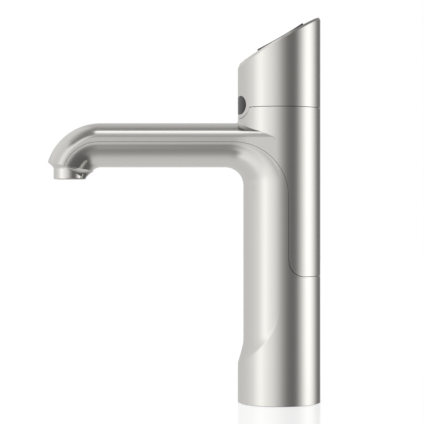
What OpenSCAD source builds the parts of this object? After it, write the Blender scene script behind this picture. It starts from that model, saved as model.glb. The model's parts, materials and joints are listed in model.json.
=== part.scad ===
// Boiling water tap: slanted control head on a round column, with a broad
// horizontal spout that turns down to a round nozzle.
// Frame: Z up, origin on the column axis where it meets the worktop, spout towards -X.
// Each module is one physical piece, in the place it has in the finished tap.

/* [Column] */
// Diameter of the column, collar and head
body_d = 60; // [58:0.5:64]
// How far the front of the column is set back from the round body
front_recess = 4; // [3:0.5:5]
// Height at which the scooped shoulder of the foot leaves the round body
foot_z = 28.3; // [24:0.5:32]
// Wall left between the column bore and the outside, at the front
column_wall = 4; // [3:0.5:5]

/* [Spout] */
// Height of the line along which the top skin meets the lower casting
part_z = 188; // [184:0.5:192]
// Distance from the column axis to the nozzle axis
reach = 151.5; // [135:0.5:165]
// Half of the spout's width
spout_half_w = 29.95; // [29:0.05:29.95]
// Rise of the spout's crown above the parting line
crown_h = 14.5; // [12:0.5:16]
// Depth of the spout's belly below the parting line
belly_h = 17.5; // [15:0.5:19]
// Radius of the flat middle arc of the crown
crown_arc = 43; // [41:1:60]
// Radius of the belly where the spout turns down at its tip
tip_inner_r = 8; // [6:0.5:10]
// Radius of the inside corner between spout and column
elbow_inner_r = 13.3; // [10:0.1:16]
// Slope of the cut face at the tip
outlet_tilt = 10.6; // [6:0.2:14]
// Thickness of the top skin of the spout
skin = 2.5; // [2:0.1:3]
// Thickness of the lower casting of the spout
belly_wall = 3.5; // [3:0.1:4.5]

/* [Rear shell] */
// Height of the lower edge of the rear cover
cover_z = 92; // [80:1:110]
// Radius of the sweep of the parting line from spout to column
sweep_r = 39; // [36:0.5:40]
// Wall of the collar and of the rear cover
shell_wall = 3.5; // [3:0.1:4]
// Width of the hairline joint between the casings
joint_gap = 0.24; // [0.16:0.02:0.4]

/* [Head] */
// Height of the seam between collar and head
seam_z = 213.6; // [210:0.2:217]
// Height of the slanted control face on the column axis
face_z = 262.5; // [255:0.5:270]
// Slope of the control face
face_tilt = 30.3; // [25:0.1:35]
// Wall of the head casing
head_wall = 3.2; // [2.8:0.1:3.6]
// Height of the middle of the indicator window
window_z = 214.5; // [212:0.5:217]
// Half of the window's width, seen from the front
window_half_w = 17.5; // [14:0.5:18]
// Half of the window's height
window_half_h = 6.5; // [5:0.5:7]
// Width of the frame of casing left round the window
window_frame = 2.8; // [2:0.2:3.4]

/* [Buttons] */
// Travel of each button
travel = 1; // [0.6:0.1:1.2]
// Radius of the outer edge of the two large buttons, seen from above
button_r = 24.6; // [22:0.2:24.6]
// Lower end of the large buttons along the slope
button_lo = -18.2; // [-18.6:0.2:-16]
// Upper end of the large buttons along the slope
button_hi = 19.3; // [17:0.1:19.3]
// Height of the button ends above the rim of the head
button_end = 1.3; // [1:0.1:1.6]
// Depth of the finger dish along the large buttons
dish = 1; // [0.6:0.1:1.2]
// Diameter of the safety button
lock_d = 8; // [7:0.5:8.5]
// Distance of the safety button from the axis, down the slope
lock_u = -25.5; // [-26:0.5:-25]

/* [Water ways] */
// Outside diameter of the boiling and chilled water tubes
tube_d = 8; // [7:0.5:8]
// Outside diameter of the vent tube
vent_d = 5; // [4:0.5:5]
// Outside diameter of the nozzle at its lip
nozzle_d = 23.4; // [22:0.2:25]
// Thickness of the brass mounting plate in the foot
plate_t = 12; // [11:0.5:13]
// Nominal diameter of the two fixing studs that screw into the mounting plate
stud_d = 8; // [6:1:8]

/* [Hidden] */
$fn = 96;
eps = 0.01;
body_r = body_d / 2;

// spout tip: the section turns about an axis across the spout
tip_x = -reach + 22;
tip_part_r = tip_inner_r + belly_h;
tip_z = part_z - tip_part_r;
tip_sweep = 80;
// cut face at the tip, given by its height on the nozzle axis
outlet_z = tip_z + 8.4;

// elbow between spout and column, and the sweep of the parting line round it
elbow_x = -(body_r - front_recess) - elbow_inner_r;
elbow_z = part_z - belly_h - elbow_inner_r;
sweep_x = -33.5;
sweep_z = part_z - sweep_r;
corner_r = 12;

// foot: a large arc turned about an axis behind the column's own
foot_axis_x = 8;
foot_arc = 151;
foot_arc_z = 75;
foot_arc_r = 30.8 + foot_arc;
foot_top_z = 70;

// column bore and the step that carries the mounting plate
bore_x = 2;
bore_r = body_r - front_recess - column_wall + bore_x;
step_r = 18.5;
step_z = plate_t + 14;
plate_r = 26.6;
plate_screw_r = 22.2;
foot_lift = 0.3;
seal_t = 1.8;

// deck across the collar, which carries the head and the casing screws
deck_t = 3;
deck_top = part_z + deck_t;
shell_screw = [-16, 15.7];
head_screw_y = 21.5;
lead_x = 11;

// head
face_sin = sin(face_tilt);
face_cos = cos(face_tilt);
head_bore = body_r - head_wall;
pocket_r = body_r - 2.2;
fascia_top = -0.8;
fascia_t = 2;
seat_w = fascia_top - fascia_t;
cap_floor = seat_w - 1.1;
carrier_top = -8;
carrier_bottom = -10.2;
board_top = -14;
board_t = 1.6;
button_gap = 0.6;
aperture = 0.35;
button_mid = (button_lo + button_hi) / 2;
dish_r = (pow((button_hi - button_lo) / 2, 2) + dish * dish) / (2 * dish);
plunger_d = 3;
plunger_end = -9.15;
plunger_y = 12.4;
guide_u = 11.5;
guide_y = 11;
guide_fit = 0.05;
bridge_x = -16.5;
standoffs = [[16, 0], [-20, 13], [-20, -13]];
pillars = [[-22, 12, 2], [-22, -12, 2], [22, 6, 1.4], [22, -6, 1.4]];
guide_lamps = [[-26.5, 7.5], [-26.5, -7.5]];
lamp_d = 2.2;

// tubes
tube_z = part_z - 6;
tube_bend = 18;
tube_x = -9;
tube_y = 7.2;
vent_x = -1;
tube_wall = 1;
tube_foot_z = 7.2;
port_depth = 5.6;
hose_thread_r = 5;
vent_thread_r = 4;
port_seal = 0.65;
stud_y = 13.5;
manifold_x = -136;

// ---- outlines and helpers ----

// half oval of the belly: [across, down from the widest line]
function belly(w, d, n = 24) = [for (i = [0 : n]) let (a = 180 * i / n) [w * cos(a), d * sin(a)]];

// half oval of the crown: a wide middle arc that runs into two small shoulder arcs
function shoulder_r(w, h) = (crown_arc * crown_arc - w * w - pow(crown_arc - h, 2)) / (2 * (crown_arc - w));
function crown(w, h, n = 14, m = 7) =
    let (s = shoulder_r(w, h), turn = atan2(w - s, crown_arc - h))
    concat(
        [for (i = [0 : m]) let (a = 90 - (90 - turn) * i / m) [w - s + s * sin(a), s * cos(a)]],
        [for (i = [1 : n - 1]) let (a = turn - 2 * turn * i / n) [crown_arc * sin(a), h - crown_arc + crown_arc * cos(a)]],
        [for (i = [0 : m]) let (a = turn + (90 - turn) * i / m) [-(w - s) - s * sin(a), s * cos(a)]]
    );

// a pill on its side, as seen from the front
function pill(hw, hh, n = 12) = concat(
    [for (i = [0 : n]) let (a = -90 + 180 * i / n) [hw - hh + hh * cos(a), hh * sin(a)]],
    [for (i = [0 : n]) let (a = 90 + 180 * i / n) [-(hw - hh) + hh * cos(a), hh * sin(a)]]
);

// arc of points in the XZ plane, angles from +X towards +Z
function arc(cx, cz, r, a0, a1, n) = [for (i = [0 : n]) let (a = a0 + (a1 - a0) * i / n) [cx + r * cos(a), cz + r * sin(a)]];

// everything below and in front of the parting line, grown by g
function front_region(g) = concat(
    arc(tip_x, tip_z, tip_part_r + g, 180, 92, 20),
    arc(sweep_x, sweep_z, sweep_r + g, 90, 0, 40),
    arc(sweep_x + sweep_r + corner_r, cover_z + corner_r, corner_r - g, 180, 270, 12),
    [[body_r + 10, cover_z + g], [body_r + 10, -10], [-2 * reach, -10], [-2 * reach, tip_z]]
);

// a prism across the tap from an outline in the XZ plane
module across(half = 40) {
    translate([0, half, 0]) rotate([90, 0, 0]) linear_extrude(2 * half) children();
}

// a prism along the spout from an outline [Y, Z]
module along(x0, x1) {
    translate([x0, 0, 0]) rotate([90, 0, 90]) linear_extrude(x1 - x0) children();
}

// turns an outline [radius, Y] about an axis across the tap
module swing(cx, cz, from, by) {
    translate([cx, 0, cz]) rotate([90, 0, 0]) rotate([0, 0, from]) rotate_extrude(angle = by) children();
}

// the frame of the control face: X up the slope, Z out of the face
module on_face(u = 0, v = 0, w = 0) {
    translate([0, 0, face_z]) rotate([0, -face_tilt, 0]) translate([u, v, w]) children();
}

// a slab parallel to the control face
module face_slab(bottom, top) {
    on_face(-60, -60, bottom) cube([120, 120, top - bottom]);
}

// everything below the cut face of the tip, raised by h
module below_outlet(h = 0) {
    translate([-reach, 0, outlet_z + h]) rotate([0, outlet_tilt, 0]) translate([-60, -60, -80]) cube([120, 120, 80]);
}

module ring(r_out, r_in, z0, z1) {
    translate([0, 0, z0]) linear_extrude(z1 - z0) difference() {
        circle(r_out);
        circle(r_in);
    }
}

module rod(r, z0, z1) {
    translate([0, 0, z0]) cylinder(r = r, h = z1 - z0);
}

// closed skin over rings that have the same number of points
module loft(rings) {
    n = len(rings[0]);
    last = (len(rings) - 1) * n;
    polyhedron(
        points = [for (r = rings) each r],
        faces = concat(
            [[for (j = [n - 1 : -1 : 0]) j]],
            [for (k = [0 : len(rings) - 2]) for (j = [0 : n - 1]) each let (a = k * n + j, b = k * n + (j + 1) % n)
                [[b, a + n, a], [b + n, a + n, b]]],
            [[for (j = [0 : n - 1]) last + j]]
        )
    );
}

module at_plate_screws() {
    for (a = [60 : 120 : 300]) rotate([0, 0, a]) translate([plate_screw_r, 0, 0]) children();
}

// ---- front casting ----

elbow_w0 = belly_h + elbow_inner_r;
elbow_w1 = body_r - front_recess + elbow_inner_r;
function smooth(t) = t * t * (3 - 2 * t);
function widest_r(phi) = elbow_w0 + (elbow_w1 - elbow_w0) * smooth(phi / 90);
// distance from the elbow axis to the parting line
function sweep_reach(phi) =
    let (dx = sweep_x - elbow_x, dz = sweep_z - elbow_z, b = dx * sin(phi) + dz * cos(phi))
    min(elbow_w0 / max(cos(phi), eps), b + sqrt(b * b + sweep_r * sweep_r - dx * dx - dz * dz));
// the back of the swept part stops inside the round column
function back_r(phi) = min(sweep_reach(phi) + 1, (1 - elbow_x) / max(sin(phi), eps));

// one section of the sweep: side = -1 turns towards the tip, +1 towards the column
function sweep_ring(cx, cz, side, phi, w, r_in, r_wide, r_back, n = 24) = [
    for (p = concat([[w, r_wide - r_back]], belly(w, r_wide - r_in, n), [[-w, r_wide - r_back]]))
        let (r = r_wide - p[1]) [cx + side * r * sin(phi), p[0], cz + r * cos(phi)]
];
function tip_ring(x, phi, wall, n) =
    sweep_ring(x, tip_z, -1, phi, spout_half_w - wall, tip_inner_r + wall, tip_part_r, tip_part_r + 1, n);

module lower_sweep() {
    tip_rings = [for (a = [tip_sweep : -8 : 0]) tip_ring(tip_x, a, 0, 24)];
    elbow_rings = [for (a = [0 : 7.5 : 90])
        sweep_ring(elbow_x, elbow_z, 1, a, spout_half_w, elbow_inner_r, widest_r(a), back_r(a))];
    foot_ring = [for (p = elbow_rings[len(elbow_rings) - 1]) [p[0], p[1], foot_z - 8]];
    loft(concat(tip_rings, elbow_rings, [foot_ring]));
}

module foot() {
    intersection() {
        rod(body_r, foot_lift, foot_top_z);
        translate([foot_axis_x, 0, 0]) rotate_extrude() difference() {
            square([body_r + foot_axis_x + 2, foot_top_z]);
            intersection() {
                translate([foot_arc_r, foot_arc_z]) circle(foot_arc, $fn = 256);
                translate([0, foot_z]) square([foot_arc_r, foot_top_z]);
            }
        }
    }
}

module round_back() {
    intersection() {
        rod(body_r, foot_lift, part_z);
        translate([-1, -body_r - 1, 0]) cube([2 * body_r, 2 * body_r + 2, part_z]);
    }
}

module column_bore() {
    translate([bore_x, 0, 0]) rod(bore_r, step_z, part_z + 5);
    rod(step_r, plate_t - eps, step_z + eps);
    rod(plate_r + 0.1, -1, plate_t);
    rod(body_r - 0.8, -1, seal_t);
}

module belly_channel() {
    difference() {
        loft([each [for (a = [tip_sweep : -8 : 0]) tip_ring(tip_x, a, belly_wall, 16)], tip_ring(-5, 0, belly_wall, 16)]);
        below_outlet(3);
    }
}

module front_casting() {
    color("silver") difference() {
        union() {
            difference() {
                intersection() {
                    union() {
                        lower_sweep();
                        foot();
                        round_back();
                    }
                    across() polygon(front_region(-joint_gap / 2));
                }
                column_bore();
                belly_channel();
                below_outlet();
            }
            for (s = [-1, 1]) translate([shell_screw[0], s * shell_screw[1], 0]) rod(4.1, part_z - 24, part_z - joint_gap / 2);
        }
        for (s = [-1, 1]) translate([shell_screw[0], s * shell_screw[1], 0]) rod(2.03, part_z - 16, part_z + 1);
        at_plate_screws() rod(2.03, plate_t - 1, plate_t + 10);
        translate([-reach, 0, 0]) rod(10, outlet_z - 20, outlet_z + 9);
    }
}

// ---- rear shell ----

module crown_outline(w, h, skirt) {
    polygon(concat([[w, -skirt]], crown(w, h), [[-w, -skirt]]));
}

module crown_turn(w, h) {
    intersection() {
        swing(tip_x, tip_z, 90, tip_sweep) rotate([0, 0, -90]) translate([0, tip_part_r]) crown_outline(w, h, 1);
        translate([tip_x - 60, -40, tip_z - 10]) cube([61, 80, 60]);
    }
}

module rear_shell() {
    color("silver") difference() {
        union() {
            rod(body_r, cover_z - 5, seam_z - joint_gap / 2);
            along(tip_x, -0.5) translate([0, part_z]) crown_outline(spout_half_w, crown_h, 40);
            crown_turn(spout_half_w, crown_h);
        }
        across() polygon(front_region(joint_gap / 2));
        below_outlet();
        // inside of the column cover and of the spout
        rod(body_r - shell_wall, cover_z - 6, part_z);
        translate([-50, -spout_half_w + shell_wall, part_z - 45]) cube([50, 2 * (spout_half_w - shell_wall), 45]);
        along(tip_x, -body_r) translate([0, part_z]) crown_outline(spout_half_w - skin, crown_h - skin, 5);
        difference() {
            crown_turn(spout_half_w - skin, crown_h - skin);
            below_outlet(3);
        }
        translate([-reach, 0, 0]) rod(10, outlet_z - 20, outlet_z + 9);
        // collar above the deck
        rod(body_r - shell_wall, deck_top, seam_z + 1);
        along(-body_r - 1, 0) translate([0, window_z])
            polygon(pill(window_half_w + window_frame + joint_gap, window_half_h + window_frame + joint_gap));
        for (s = [-1, 1]) {
            translate([shell_screw[0], s * shell_screw[1], 0]) rod(2.25, part_z - 1, deck_top + 1);
            translate([0, s * head_screw_y, 0]) rod(1.7, part_z - 1, deck_top + 1);
        }
        translate([lead_x, 0, 0]) rod(3.5, part_z - 1, deck_top + 1);
    }
}

module shell_screws() {
    color("dimgray") for (s = [-1, 1]) translate([shell_screw[0], s * shell_screw[1], 0]) difference() {
        union() {
            rod(2, part_z - 14, deck_top + eps);
            rod(3.5, deck_top, deck_top + 2.6);
        }
        translate([0, 0, deck_top + 1.2]) cylinder(r = 1.45, h = 3, $fn = 6);
    }
}

// ---- head ----

module head_housing() {
    window = [window_half_w, window_half_h];
    color("silver") difference() {
        intersection() {
            union() {
                rod(body_r, seam_z + joint_gap / 2, face_z + body_r);
                intersection() {
                    rod(body_r, seam_z - 15, seam_z + 1);
                    along(-body_r - 1, -5) translate([0, window_z])
                        polygon(pill(window[0] + window_frame, window[1] + window_frame));
                }
            }
            // slanted rim with its bevelled edge
            union() {
                on_face() hull() {
                    translate([0, 0, -1.8]) rim_disc(0.5);
                    translate([0, 0, -0.1]) rim_disc(-0.9);
                }
                rod(body_r + 5, seam_z - 20, face_z - 25);
                intersection() {
                    rod(body_r + 5, face_z - 26, face_z + body_r);
                    face_slab(-60, -1.7);
                }
            }
        }
        rod(head_bore, seam_z - 20, face_z + body_r);
        intersection() {
            rod(pocket_r, seam_z + 10, face_z + body_r);
            face_slab(seat_w, 10);
        }
        along(-body_r - 1, -5) translate([0, window_z]) polygon(pill(window[0], window[1]));
    }
}

// thin disc with the outline of the slanted rim, grown by g
module rim_disc(g) {
    scale([(body_r + g) / body_r / face_cos, (body_r + g) / body_r, 1]) cylinder(r = body_r, h = 0.1, $fn = 96);
}

// outline of a large button on the control face, grown by g, with its inner edge at the given distance
module button_outline(g, inner) {
    n = 24;
    u0 = button_lo - g;
    u1 = button_hi + g;
    r = button_r + g;
    polygon(concat(
        [[u1, inner], [u0, inner]],
        [for (i = [0 : n]) let (u = u0 + (u1 - u0) * i / n) [u, sqrt(r * r - pow(u * face_cos, 2))]]
    ));
}

module control_fascia() {
    color("black") difference() {
        intersection() {
            rod(pocket_r - 0.1, face_z - 40, face_z + 40);
            face_slab(seat_w, fascia_top);
        }
        on_face(0, 0, seat_w - 1) {
            for (s = [0, 1]) mirror([0, s, 0]) linear_extrude(fascia_t + 2) button_outline(aperture, -1);
            translate([lock_u, 0, 0]) cylinder(d = lock_d + 2 * aperture, h = fascia_t + 2);
            for (p = guide_lamps) translate([p[0], p[1], 0]) cylinder(d = lamp_d + 0.1, h = fascia_t + 2);
        }
    }
}

module large_button() {
    difference() {
        union() {
            linear_extrude(button_end - cap_floor + 1) button_outline(0, button_gap / 2);
            linear_extrude(0.95) button_outline(0.9, button_gap / 2);
        }
        // finger dish
        translate([button_mid, 0, button_end - dish - cap_floor + dish_r]) rotate([90, 0, 0])
            cylinder(r = dish_r, h = 80, center = true, $fn = 256);
    }
}

module press_stems() {
    on_face(button_mid, plunger_y, plunger_end) cylinder(d = plunger_d, h = cap_floor - plunger_end + eps);
    for (s = [-1, 1]) on_face(button_mid + s * guide_u, guide_y, carrier_bottom - 1)
        cylinder(d = plunger_d, h = cap_floor - carrier_bottom + 1 + eps);
}

module boiling_button() {
    color("dimgray") {
        intersection() {
            on_face(0, 0, cap_floor) mirror([0, 1, 0]) large_button();
            rod(head_bore - 0.9, face_z - 40, face_z + 40);
        }
        mirror([0, 1, 0]) press_stems();
    }
}

module chilled_button() {
    color("dimgray") {
        intersection() {
            on_face(0, 0, cap_floor) large_button();
            rod(head_bore - 0.9, face_z - 40, face_z + 40);
        }
        press_stems();
    }
}

module lock_button() {
    color("orangered") on_face(lock_u, 0, 0) {
        translate([0, 0, cap_floor]) cylinder(d = lock_d, h = 0.5 - cap_floor);
        translate([0, 0, cap_floor]) cylinder(d = lock_d + 2, h = 0.95);
        translate([0, 0, plunger_end]) cylinder(d = plunger_d, h = cap_floor - plunger_end + eps);
    }
}

// coil spring of round wire, wound up the control face's normal
function coil_ring(r, wire, a, w) = [for (k = [0 : 5]) let (t = 60 * k, q = r + wire * cos(t)) [q * cos(a), q * sin(a), w + wire * sin(t)]];

module button_spring(u, v) {
    wire = 0.25;
    coil_r = 2.7;
    turns = 3;
    steps = 12;
    low = carrier_top + wire;
    high = cap_floor - wire;
    color("gainsboro") on_face(u, v, 0)
        loft([for (i = [0 : turns * steps]) coil_ring(coil_r, wire, 360 * i / steps, low + (high - low) * i / (turns * steps))]);
}

module boiling_spring() {
    button_spring(button_mid, -plunger_y);
}

module chilled_spring() {
    button_spring(button_mid, plunger_y);
}

module lock_spring() {
    button_spring(lock_u, 0);
}

module button_carrier() {
    color("darkslategray") difference() {
        union() {
            intersection() {
                rod(head_bore - 0.1, face_z - 45, face_z + 40);
                face_slab(carrier_bottom, carrier_top);
            }
            intersection() {
                rod(head_bore - 0.1, face_z - 45, face_z + 40);
                for (p = pillars) on_face(p[0], p[1], carrier_top - eps) cylinder(r = p[2], h = seat_w - carrier_top + eps);
            }
            for (p = standoffs) on_face(p[0], p[1], board_top) cylinder(r = 2.4, h = carrier_bottom - board_top + eps);
        }
        for (s = [-1, 1]) {
            on_face(button_mid, s * plunger_y, board_top) cylinder(d = plunger_d + 0.8, h = 8);
            for (t = [-1, 1]) on_face(button_mid + t * guide_u, s * guide_y, board_top)
                cylinder(d = plunger_d + 2 * guide_fit, h = 8);
        }
        on_face(lock_u, 0, board_top) cylinder(d = plunger_d + 2 * guide_fit, h = 8);
        for (p = guide_lamps) on_face(p[0], p[1], board_top) cylinder(d = lamp_d + 0.1, h = 8);
        for (p = standoffs) on_face(p[0], p[1], board_top - 1) cylinder(r = 1.02, h = 5);
    }
}

module control_board() {
    color("darkgreen") difference() {
        intersection() {
            rod(head_bore - 1, face_z - 60, face_z + 40);
            face_slab(board_top - board_t, board_top);
        }
        for (p = standoffs) on_face(p[0], p[1], board_top - 3) cylinder(r = 1.15, h = 5);
    }
}

module tact_switches() {
    color("dimgray") for (p = [[button_mid, plunger_y], [button_mid, -plunger_y], [lock_u, 0]]) on_face(p[0], p[1], board_top) {
        translate([-3, -3, 0]) cube([6, 6, 2.9]);
        translate([0, 0, 2.9 - eps]) cylinder(d = 2.6, h = 0.9 + eps);
    }
}

module board_screws() {
    color("silver") for (p = standoffs) on_face(p[0], p[1], board_top - board_t) {
        translate([0, 0, -1.3]) cylinder(r = 1.9, h = 1.3);
        translate([0, 0, -eps]) cylinder(r = 1, h = board_t + 3.4);
    }
}

module light_guides() {
    color("white") for (p = guide_lamps) on_face(p[0], p[1], board_top + 0.6)
        cylinder(d = lamp_d, h = fascia_top - board_top - 0.6);
}

// ---- indicator window ----

module window_prism(grow) {
    along(-body_r - 1, -5) translate([0, window_z]) polygon(pill(window_half_w + grow, window_half_h + grow));
}

module indicator_lens() {
    color([0.15, 0.15, 0.16]) union() {
        intersection() {
            ring(body_r - 0.35, head_bore - 1.5, window_z - 12, window_z + 12);
            window_prism(-0.12);
        }
        intersection() {
            ring(head_bore - 0.6, head_bore - 1.5, window_z - 12, window_z + 12);
            window_prism(1.4);
        }
    }
}

module window_gasket() {
    color("black") difference() {
        intersection() {
            ring(head_bore - 0.04, head_bore - 0.56, window_z - 12, window_z + 12);
            window_prism(1.4);
        }
        window_prism(-0.05);
    }
}

module indicator_board() {
    color("darkgreen") translate([bridge_x - 1.2, -14, window_z - 7.5]) cube([1.2, 28, 15]);
}

module indicator_leds() {
    color("white") for (y = [-8 : 8 : 8]) translate([bridge_x - 2.6, y - 1.5, window_z - 1.5]) cube([1.4, 3, 3]);
}

module head_ring() {
    low = seam_z - 9;
    ring_in = 22.9;
    color("tan") difference() {
        union() {
            difference() {
                union() {
                    ring(body_r - shell_wall - 0.1, ring_in, low, seam_z - joint_gap / 2);
                    ring(head_bore - 0.1, ring_in, seam_z - joint_gap / 2, seam_z + 8);
                }
                translate([-40, -21, low - 1]) cube([25, 42, 30]);
            }
            // bridge that carries the indicator board
            translate([bridge_x, -18.6, low]) cube([2.5, 37.2, 9]);
            for (s = [-1, 1]) translate([0, s * head_screw_y, 0]) rod(3.6, low, seam_z + 4);
        }
        for (s = [-1, 1]) translate([0, s * head_screw_y, 0]) rod(1.52, low - 1, seam_z + 2);
    }
}

module head_gasket() {
    color("black") difference() {
        ring(body_r - 0.6, head_bore + 0.05, seam_z - joint_gap / 2, seam_z + joint_gap / 2);
        window_prism(window_frame + 0.1);
    }
}

module head_screws() {
    color("dimgray") for (s = [-1, 1]) translate([0, s * head_screw_y, 0]) difference() {
        union() {
            rod(2.75, part_z - 2.6, part_z);
            rod(1.5, part_z - eps, seam_z);
        }
        translate([0, 0, part_z - 3]) cylinder(r = 1.25, h = 1.8, $fn = 6);
    }
}

// ---- water ways ----

module bent_tube(x, y, r_out, bend, z_top, x_end) {
    r_in = r_out - tube_wall;
    translate([x, y, 0]) ring(r_out, r_in, tube_foot_z, z_top - bend);
    translate([0, y, 0]) swing(x - bend, z_top - bend, 0, 90) translate([bend, 0]) difference() {
        circle(r_out);
        circle(r_in);
    }
    translate([0, y, z_top]) rotate([0, 90, 0]) ring(r_out, r_in, x_end, x - bend);
}

module boiling_tube() {
    color("silver") bent_tube(tube_x, -tube_y, tube_d / 2, tube_bend, tube_z, manifold_x - 5);
}

module chilled_tube() {
    color("silver") bent_tube(tube_x, tube_y, tube_d / 2, tube_bend, tube_z, manifold_x - 5);
}

module vent_tube() {
    color("silver") bent_tube(vent_x, 0, vent_d / 2, tube_bend, tube_z, manifold_x - 5);
}

module boiling_sleeve() {
    color("dimgray") translate([tube_x, -tube_y, 0]) ring(tube_d / 2 + 2.2, tube_d / 2 + 0.05, 72, 150);
}

module tube_clip() {
    color("white") difference() {
        intersection() {
            translate([bore_x, 0, 0]) rod(bore_r - 0.1, 60, 66);
            translate([-30, -14, 59]) cube([60, 28, 8]);
        }
        for (s = [-1, 1]) translate([tube_x, s * tube_y, 0]) rod(tube_d / 2 + 0.05, 59, 67);
        translate([vent_x, 0, 0]) rod(vent_d / 2 + 0.05, 59, 67);
        translate([lead_x, 0, 0]) rod(2.6, 59, 67);
    }
}

module outlet_manifold() {
    color("goldenrod") difference() {
        union() {
            translate([manifold_x - 13, -14, tube_z - 6]) cube([13, 28, 11.5]);
            translate([-reach, 0, 0]) rod(9.5, outlet_z - 3.5, tube_z - 2);
        }
        for (y = [-tube_y, tube_y]) translate([0, y, tube_z]) rotate([0, 90, 0])
            rod(tube_d / 2 + 0.03, manifold_x - 5, manifold_x + 1);
        translate([0, 0, tube_z]) rotate([0, 90, 0]) rod(vent_d / 2 + 0.03, manifold_x - 5, manifold_x + 1);
        for (y = [-tube_y, 0, tube_y]) translate([0, y, tube_z]) rotate([0, 90, 0]) rod(1.5, manifold_x - 11, manifold_x);
        translate([manifold_x - 11, 0, tube_z]) rotate([90, 0, 0]) cylinder(r = 1.5, h = 2 * tube_y, center = true);
        translate([manifold_x - 11, 0, tube_z - 4.2]) cylinder(r = 1.5, h = 4.2);
        translate([-reach, 0, 0]) rod(5, outlet_z - 5, tube_z - 4);
        // groove for the seal
        translate([-reach, 0, 0]) ring(11, 8.4, outlet_z - 2.2, outlet_z - 0.4);
    }
}

module manifold_seal() {
    color("black") translate([-reach, 0, outlet_z - 1.3]) rotate_extrude() translate([9.02, 0]) circle(0.55);
}

// sections of the nozzle: tilted with the cut face above, level at the lip
function nozzle_ring(t, n = 48) =
    let (lip_z = outlet_z - 9.2, fall = pow(1 - t, 2.2), r = nozzle_d / 2 + 3.6 * fall, tilt = outlet_tilt * pow(1 - t, 1.3),
         z = outlet_z + (lip_z + 0.6 - outlet_z) * t)
    [for (j = [0 : n - 1]) let (a = 360 * j / n) [-reach + r * cos(a) * cos(tilt), r * sin(a), z - r * cos(a) * sin(tilt)]];

module nozzle() {
    lip_z = outlet_z - 9.2;
    lip = [for (p = nozzle_ring(1)) [-reach + (p[0] + reach) * 0.955, p[1] * 0.955, lip_z]];
    color("silver") difference() {
        loft(concat([for (t = [0 : 0.125 : 1]) nozzle_ring(t)], [lip]));
        translate([-reach, 0, 0]) rod(9.6, lip_z - 1, outlet_z + 10);
    }
}

module flow_straightener() {
    low = outlet_z - 7.6;
    color("whitesmoke") difference() {
        translate([-reach, 0, 0]) rod(9.5, low, outlet_z - 3.55);
        for (k = [0 : 2]) for (i = [0 : max(0, 6 * k - 1)]) rotate_about_nozzle(60 * i / max(1, k))
            translate([3 * k, 0, 0]) rod(1.1, low - 1, outlet_z);
    }
}

module rotate_about_nozzle(a) {
    translate([-reach, 0, 0]) rotate([0, 0, a]) children();
}

// ---- control lead ----

module control_lead() {
    color("black") translate([lead_x, 0, 0]) rod(2.2, 18, face_z - 20);
}

module lead_plug() {
    color("white") difference() {
        union() {
            on_face(3.6, 0, board_top - board_t - 5) translate([-4, -4, 0]) cube([8, 8, 5]);
            translate([lead_x, 0, 0]) rod(3.2, face_z - 20, face_z - 15);
        }
        translate([lead_x - 10, -10, face_z - 40]) cube([20, 20, 20]);
    }
}

module lead_socket() {
    color("black") difference() {
        translate([lead_x, 0, 0]) {
            rod(4.4, foot_lift, plate_t + 6);
            rod(5.6, plate_t, plate_t + 2);
        }
        translate([lead_x, 0, 0]) rod(3, -1, foot_lift + 7);
    }
}

// ---- foot ----

// a threaded port for a hose, the seat of its seal and the hole for the tube's end
module port(r_thread, r_tube) {
    rod(r_thread, -1, port_depth);
    rod(r_thread - 0.4, port_depth - eps, tube_foot_z);
    rod(r_tube + 0.03, tube_foot_z - eps, plate_t + 1);
}

module mounting_plate() {
    color("goldenrod") difference() {
        rod(plate_r, 0, plate_t);
        for (s = [-1, 1]) {
            translate([tube_x, s * tube_y, 0]) port(hose_thread_r, tube_d / 2);
            translate([0, s * stud_y, 0]) rod(stud_d / 2, -1, plate_t + 1);
        }
        translate([vent_x, 0, 0]) port(vent_thread_r, vent_d / 2);
        translate([lead_x, 0, 0]) rod(4.5, -1, plate_t + 1);
        at_plate_screws() {
            rod(2.2, -1, plate_t + 1);
            rod(3.7, -1, 2.6);
        }
    }
}

module plate_screws() {
    color("silver") at_plate_screws() difference() {
        union() {
            rod(3.5, 0.2, 2.6);
            rod(2, 2.6 - eps, plate_t + 8);
        }
        translate([0, 0, -1]) cylinder(r = 1.45, h = 2.4, $fn = 6);
    }
}

module inlet_seals() {
    color("black") {
        for (s = [-1, 1]) translate([tube_x, s * tube_y, 0]) port_ring(hose_thread_r - 0.5);
        translate([vent_x, 0, 0]) port_ring(vent_thread_r - 0.5);
    }
}

module port_ring(r) {
    translate([0, 0, tube_foot_z - port_seal - 0.02]) rotate_extrude() translate([r - port_seal, 0]) circle(port_seal);
}

module foot_seal() {
    color("black") ring(body_r - 0.9, plate_r + 0.2, 0, seal_t);
}

front_casting();
rear_shell();
head_housing();
control_fascia();
indicator_lens();
window_gasket();
indicator_board();
indicator_leds();
head_ring();
head_gasket();
head_screws();
shell_screws();
button_carrier();
control_board();
tact_switches();
board_screws();
light_guides();
boiling_button();
chilled_button();
lock_button();
boiling_spring();
chilled_spring();
lock_spring();
boiling_tube();
chilled_tube();
vent_tube();
boiling_sleeve();
tube_clip();
outlet_manifold();
manifold_seal();
nozzle();
flow_straightener();
control_lead();
lead_plug();
lead_socket();
mounting_plate();
plate_screws();
inlet_seals();
foot_seal();
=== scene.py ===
import json
import math

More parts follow.
